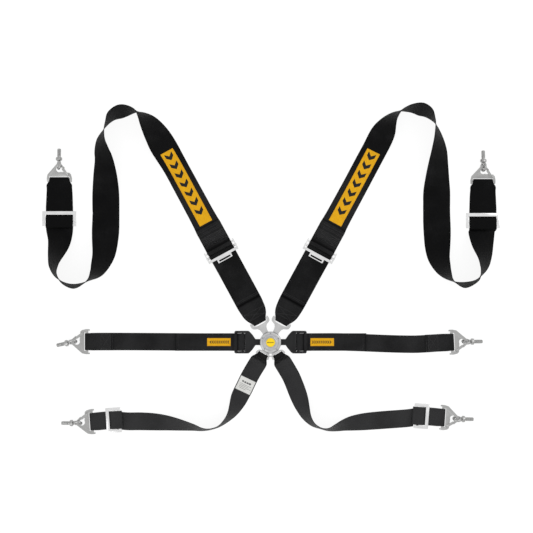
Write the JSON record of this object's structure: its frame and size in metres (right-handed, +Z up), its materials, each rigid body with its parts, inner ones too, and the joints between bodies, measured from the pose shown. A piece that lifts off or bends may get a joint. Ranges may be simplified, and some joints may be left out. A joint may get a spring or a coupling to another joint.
{
  "type": "racing harness",
  "caption": "Flat-laid racing harness: shoulder, lap and leg straps on a round cam-lock buckle, with sliding adjusters and snap-hook ends on eye bolts",
  "frame": {"origin": "middle of the buckle back face, on the surface that the harness lies on", "axes": "+Z up off that surface, out of the front of the buckle; +Y towards the shoulder strap ends; +X along the wearer left lap strap"},
  "size_m": [1.2795, 0.9195, 0.0794],
  "materials": {
    "webbing": "woven polyester, matt, near black",
    "label": "woven label cloth",
    "tag": "printed white tag cloth",
    "zinc_steel": "bright zinc plate",
    "bar_steel": "polished plate",
    "alloy": "satin",
    "black_steel": "black powder coat",
    "badge": "smooth",
    "spring_steel": "oiled"
  },
  "bodies": {
    "buckle": {"buckle_base": "alloy", "buckle_housing": "alloy", "pivot_bolt": "spring_steel", "knob_spring": "spring_steel"},
    "knob": {"release_knob": "alloy", "knob_badge": "badge", "cam_disc": "spring_steel"},
    "pin_shoulder_left": {"latch_pin_shoulder_left": "spring_steel"},
    "shoulder_left_strap": {"shoulder_tongue_left": "alloy", "chest_webbing_left": "webbing", "shoulder_adjuster_left": "bar_steel", "shoulder_webbing_left": "webbing", "shoulder_slide_left": "bar_steel", "shoulder_label_left": "label", "anchor_plate_shoulder_left": "zinc_steel"},
    "shoulder_left_lock": {"shoulder_lock_bar_left": "bar_steel"},
    "shoulder_left_gate": {"hook_gate_shoulder_left": "zinc_steel"},
    "shoulder_left_bolt": {"eye_bolt_shoulder_left": "zinc_steel"},
    "pin_shoulder_right": {"latch_pin_shoulder_right": "spring_steel"},
    "shoulder_right_strap": {"shoulder_tongue_right": "alloy", "chest_webbing_right": "webbing", "shoulder_adjuster_right": "bar_steel", "shoulder_webbing_right": "webbing", "shoulder_slide_right": "bar_steel", "shoulder_label_right": "label", "anchor_plate_shoulder_right": "zinc_steel"},
    "shoulder_right_lock": {"shoulder_lock_bar_right": "bar_steel"},
    "shoulder_right_gate": {"hook_gate_shoulder_right": "zinc_steel"},
    "shoulder_right_bolt": {"eye_bolt_shoulder_right": "zinc_steel"},
    "pin_lap_left": {"latch_pin_lap_left": "spring_steel"},
    "lap_left_strap": {"lap_adjuster_left": "black_steel", "lap_webbing_left": "webbing", "lap_label_left": "label", "anchor_plate_lap_left": "zinc_steel"},
    "lap_left_lock": {"lap_lock_bar_left": "black_steel"},
    "lap_left_gate": {"hook_gate_lap_left": "zinc_steel"},
    "lap_left_bolt": {"eye_bolt_lap_left": "zinc_steel"},
    "pin_lap_right": {"latch_pin_lap_right": "spring_steel"},
    "lap_right_strap": {"lap_adjuster_right": "black_steel", "lap_webbing_right": "webbing", "lap_label_right": "label", "anchor_plate_lap_right": "zinc_steel"},
    "lap_right_lock": {"lap_lock_bar_right": "black_steel"},
    "lap_right_gate": {"hook_gate_lap_right": "zinc_steel"},
    "lap_right_bolt": {"eye_bolt_lap_right": "zinc_steel"},
    "pin_leg_left": {"latch_pin_leg_left": "spring_steel"},
    "leg_left_strap": {"leg_tongue_left": "alloy", "leg_webbing_left": "webbing", "leg_slide_left": "bar_steel", "leg_tag_left": "tag", "anchor_plate_leg_left": "zinc_steel"},
    "leg_left_gate": {"hook_gate_leg_left": "zinc_steel"},
    "leg_left_bolt": {"eye_bolt_leg_left": "zinc_steel"},
    "pin_leg_right": {"latch_pin_leg_right": "spring_steel"},
    "leg_right_strap": {"leg_tongue_right": "alloy", "leg_webbing_right": "webbing", "leg_slide_right": "bar_steel", "anchor_plate_leg_right": "zinc_steel"},
    "leg_right_gate": {"hook_gate_leg_right": "zinc_steel"},
    "leg_right_bolt": {"eye_bolt_leg_right": "zinc_steel"}
  },
  "joints": [
    {"name": "knob_turn", "type": "hinge", "parent": "buckle", "child": "knob", "pos_m": [0, 0, 0.02], "axis": [0, 0, 1], "range_deg": [0, 35], "stiffness_Nm_per_rad": 0.4},
    {"name": "pin_shoulder_left_lift", "type": "slide", "parent": "buckle", "child": "pin_shoulder_left", "axis": [0, 0, 1], "range_m": [0, 0.005]},
    {"name": "shoulder_left_swivel", "type": "hinge", "parent": "buckle", "child": "shoulder_left_strap", "pos_m": [-0.00907, 0.0167, 0.0065], "axis": [0, 0, 1], "range_deg": [-3, 3]},
    {"name": "shoulder_left_lock_slide", "type": "slide", "parent": "shoulder_left_strap", "child": "shoulder_left_lock", "axis": [0.4772, -0.8788, 0], "range_m": [0, 0.0022]},
    {"name": "shoulder_left_gate_swing", "type": "hinge", "parent": "shoulder_left_strap", "child": "shoulder_left_gate", "pos_m": [-0.5665, 0.46551, 0.00843], "axis": [0, -0.225, 0.9744], "range_deg": [0, 22], "stiffness_Nm_per_rad": 0.03},
    {"name": "shoulder_left_bolt_swing", "type": "hinge", "parent": "shoulder_left_strap", "child": "shoulder_left_bolt", "pos_m": [-0.5905, 0.49447, 0.01327], "axis": [0.9135, -0.046, -0.4041], "range_deg": [-35, 40]},
    {"name": "pin_shoulder_right_lift", "type": "slide", "parent": "buckle", "child": "pin_shoulder_right", "axis": [0, 0, 1], "range_m": [0, 0.005]},
    {"name": "shoulder_right_swivel", "type": "hinge", "parent": "buckle", "child": "shoulder_right_strap", "pos_m": [0.00907, 0.0167, 0.0065], "axis": [0, 0, 1], "range_deg": [-3, 3]},
    {"name": "shoulder_right_lock_slide", "type": "slide", "parent": "shoulder_right_strap", "child": "shoulder_right_lock", "axis": [-0.4772, -0.8788, 0], "range_m": [0, 0.0022]},
    {"name": "shoulder_right_gate_swing", "type": "hinge", "parent": "shoulder_right_strap", "child": "shoulder_right_gate", "pos_m": [0.618, 0.46031, 0.00843], "axis": [0, -0.225, 0.9744], "range_deg": [0, 22], "stiffness_Nm_per_rad": 0.03},
    {"name": "shoulder_right_bolt_swing", "type": "hinge", "parent": "shoulder_right_strap", "child": "shoulder_right_bolt", "pos_m": [0.594, 0.48927, 0.01327], "axis": [0.9135, -0.046, -0.4041], "range_deg": [-35, 40]},
    {"name": "pin_lap_left_lift", "type": "slide", "parent": "buckle", "child": "pin_lap_left", "axis": [0, 0, 1], "range_m": [0, 0.005]},
    {"name": "lap_left_swivel", "type": "hinge", "parent": "buckle", "child": "lap_left_strap", "pos_m": [-0.019, 0, 0.0065], "axis": [0, 0, 1], "range_deg": [-3, 3]},
    {"name": "lap_left_lock_slide", "type": "slide", "parent": "lap_left_strap", "child": "lap_left_lock", "axis": [-1, 0, 0], "range_m": [0, 0.0022]},
    {"name": "lap_left_gate_swing", "type": "hinge", "parent": "lap_left_strap", "child": "lap_left_gate", "pos_m": [-0.52351, 0.0252, 0.00843], "axis": [0.225, 0, 0.9744], "range_deg": [0, 22], "stiffness_Nm_per_rad": 0.03},
    {"name": "lap_left_bolt_swing", "type": "hinge", "parent": "lap_left_strap", "child": "lap_left_bolt", "pos_m": [-0.55247, 0.0012, 0.01327], "axis": [-0.1606, 0.9005, -0.4041], "range_deg": [-35, 40]},
    {"name": "pin_lap_right_lift", "type": "slide", "parent": "buckle", "child": "pin_lap_right", "axis": [0, 0, 1], "range_m": [0, 0.005]},
    {"name": "lap_right_swivel", "type": "hinge", "parent": "buckle", "child": "lap_right_strap", "pos_m": [0.019, 0, 0.0065], "axis": [0, 0, 1], "range_deg": [-3, 3]},
    {"name": "lap_right_lock_slide", "type": "slide", "parent": "lap_right_strap", "child": "lap_right_lock", "axis": [1, 0, 0], "range_m": [0, 0.0022]},
    {"name": "lap_right_gate_swing", "type": "hinge", "parent": "lap_right_strap", "child": "lap_right_gate", "pos_m": [0.51856, -0.02377, 0.00843], "axis": [-0.2246, -0.0118, 0.9744], "range_deg": [0, 22], "stiffness_Nm_per_rad": 0.03},
    {"name": "lap_right_bolt_swing", "type": "hinge", "parent": "lap_right_strap", "child": "lap_right_bolt", "pos_m": [0.54622, 0.00171, 0.01327], "axis": [-0.046, -0.9135, -0.4041], "range_deg": [-35, 40]},
    {"name": "pin_leg_left_lift", "type": "slide", "parent": "buckle", "child": "pin_leg_left", "axis": [0, 0, 1], "range_m": [0, 0.005]},
    {"name": "leg_left_swivel", "type": "hinge", "parent": "buckle", "child": "leg_left_strap", "pos_m": [-0.00993, -0.0162, 0.0065], "axis": [0, 0, 1], "range_deg": [-3, 3]},
    {"name": "leg_left_gate_swing", "type": "hinge", "parent": "leg_left_strap", "child": "leg_left_gate", "pos_m": [-0.51118, -0.19932, 0.00843], "axis": [0.2244, 0.0157, 0.9744], "range_deg": [0, 22], "stiffness_Nm_per_rad": 0.03},
    {"name": "leg_left_bolt_swing", "type": "hinge", "parent": "leg_left_strap", "child": "leg_left_bolt", "pos_m": [-0.53839, -0.22529, 0.01327], "axis": [0.0301, 0.9142, -0.4041], "range_deg": [-35, 40]},
    {"name": "pin_leg_right_lift", "type": "slide", "parent": "buckle", "child": "pin_leg_right", "axis": [0, 0, 1], "range_m": [0, 0.005]},
    {"name": "leg_right_swivel", "type": "hinge", "parent": "buckle", "child": "leg_right_strap", "pos_m": [0.00979, -0.01629, 0.0065], "axis": [0, 0, 1], "range_deg": [-3, 3]},
    {"name": "leg_right_gate_swing", "type": "hinge", "parent": "leg_right_strap", "child": "leg_right_gate", "pos_m": [0.49043, -0.23571, 0.00843], "axis": [-0.2244, 0.0157, 0.9744], "range_deg": [0, 22], "stiffness_Nm_per_rad": 0.03},
    {"name": "leg_right_bolt_swing", "type": "hinge", "parent": "leg_right_strap", "child": "leg_right_bolt", "pos_m": [0.52099, -0.21379, 0.01327], "axis": [-0.0779, -0.9114, -0.4041], "range_deg": [-35, 40]}
  ],
  "couplings": [
    {"joint": "pin_shoulder_left_lift", "follows": "knob_turn", "m_per_rad": 0.008},
    {"joint": "pin_shoulder_right_lift", "follows": "knob_turn", "m_per_rad": 0.008},
    {"joint": "pin_lap_left_lift", "follows": "knob_turn", "m_per_rad": 0.008},
    {"joint": "pin_lap_right_lift", "follows": "knob_turn", "m_per_rad": 0.008},
    {"joint": "pin_leg_left_lift", "follows": "knob_turn", "m_per_rad": 0.008},
    {"joint": "pin_leg_right_lift", "follows": "knob_turn", "m_per_rad": 0.008}
  ]
}
